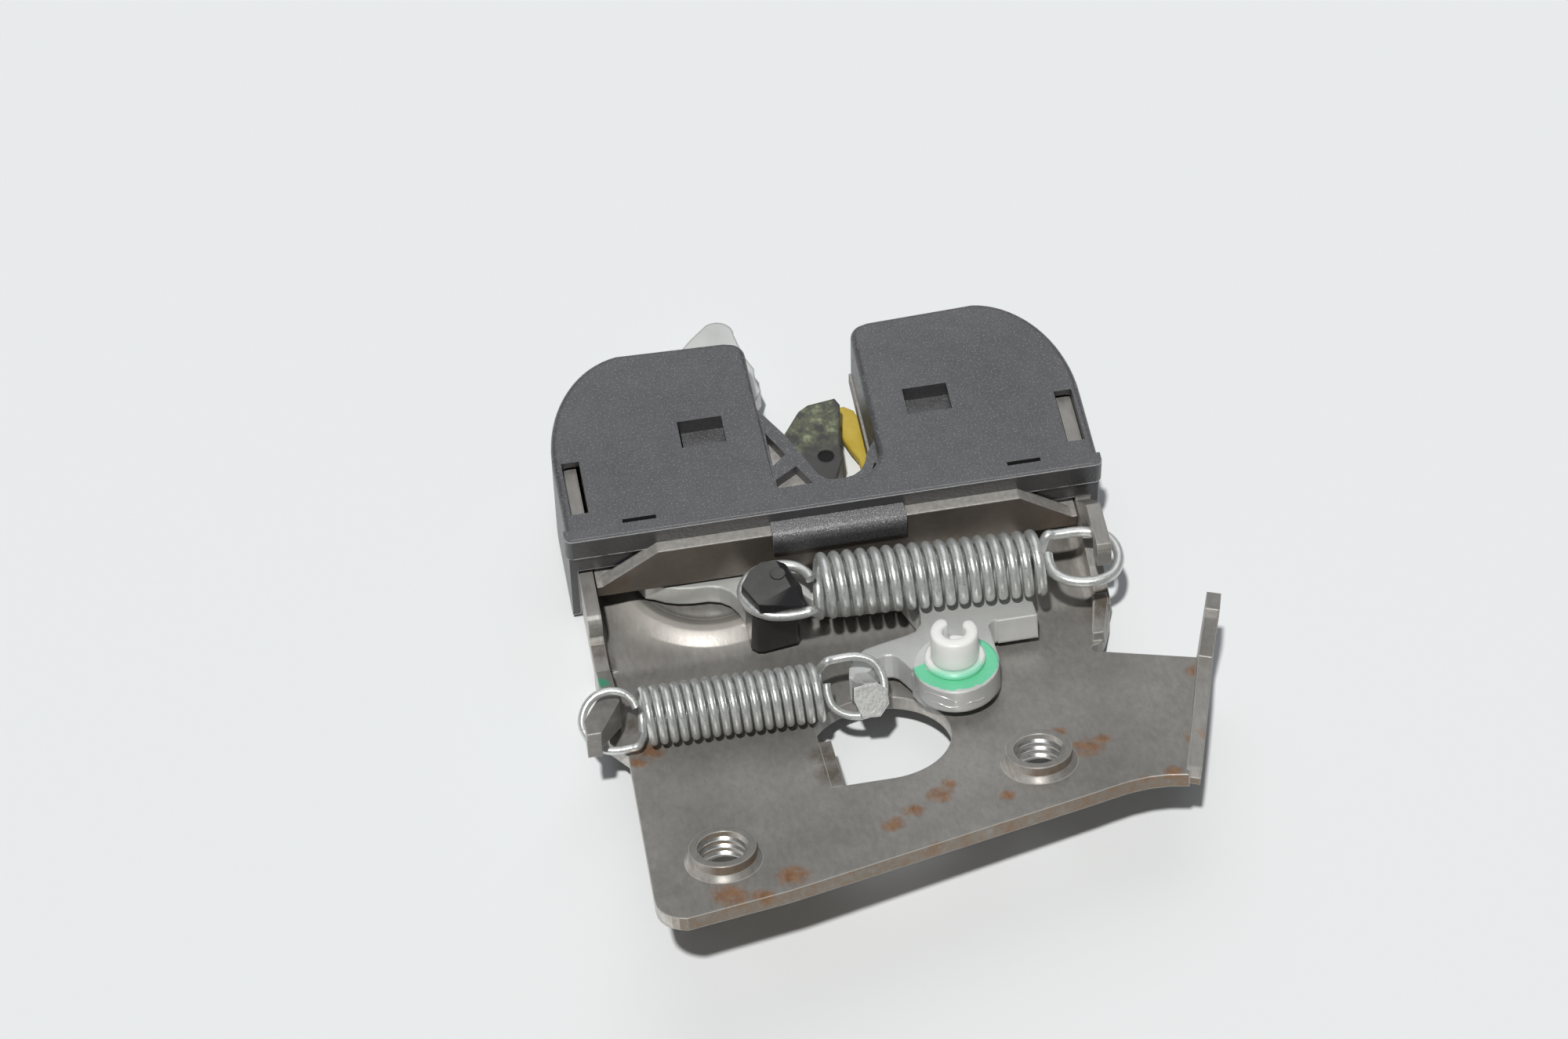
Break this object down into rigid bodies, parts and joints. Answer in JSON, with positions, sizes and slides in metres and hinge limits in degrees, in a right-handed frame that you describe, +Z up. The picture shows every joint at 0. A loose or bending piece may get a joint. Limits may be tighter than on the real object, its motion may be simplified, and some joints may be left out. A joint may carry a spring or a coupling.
{
  "type": "seat backrest lock",
  "caption": "Rotary-claw lock for a folding seat back: sprung claw and pawl lever in a bent steel frame under a moulded cover.",
  "frame": {"origin": "underside of the frame's floor, midway across the lock, level with the two pivots", "axes": "+X across the lock to the side with the upturned tongue, +Y towards the striker opening, +Z up out of the floor"},
  "size_m": [0.113, 0.1425, 0.0255],
  "materials": {
    "frame_steel": "worn, with rust spots",
    "top_plate_steel": "worn",
    "pin_steel": "zinc plated",
    "washer_plastic": "moulded",
    "damper_rubber": "moulded",
    "claw_steel": "zinc plated, greasy",
    "sleeve_plastic": "moulded, greasy",
    "knob_plastic": "moulded",
    "lever_zinc": "die cast",
    "clip_plastic": "moulded",
    "spring_steel": "zinc plated",
    "cover_plastic": "moulded, mottled",
    "trim_plastic": "moulded, sparkly grain"
  },
  "bodies": {
    "frame": {"base_frame": "frame_steel", "top_plate": "top_plate_steel", "claw_pivot": "pin_steel", "pawl_pivot": "pin_steel", "claw_washer": "washer_plastic", "pawl_washer": "washer_plastic", "spacer_rivet_left": "pin_steel", "spacer_rivet_right": "pin_steel", "striker_damper": "damper_rubber", "cover": "cover_plastic", "edge_clip": "trim_plastic", "claw_spring": "spring_steel", "pawl_spring": "spring_steel"},
    "claw": {"claw": "claw_steel", "jaw_sleeve": "sleeve_plastic", "tail_knob": "knob_plastic"},
    "lever": {"pawl_lever": "lever_zinc"},
    "clip": {"rod_clip": "clip_plastic"}
  },
  "joints": [
    {"name": "claw_turn", "type": "hinge", "parent": "frame", "child": "claw", "pos_m": [-0.0225, 0, 0.006], "axis": [0, 0, 1], "range_deg": [-40, 0], "stiffness_Nm_per_rad": 0.5, "deforming": ["claw_spring"]},
    {"name": "pawl_turn", "type": "hinge", "parent": "frame", "child": "lever", "pos_m": [0.029, 0, 0.006], "axis": [0, 0, 1], "range_deg": [0, 10], "stiffness_Nm_per_rad": 0.3, "deforming": ["pawl_spring"]},
    {"name": "clip_turn", "type": "hinge", "parent": "lever", "child": "clip", "pos_m": [0.0147, -0.04108, 0.01726], "axis": [0, 0.1736, 0.9848], "range_deg": [-60, 60]}
  ]
}
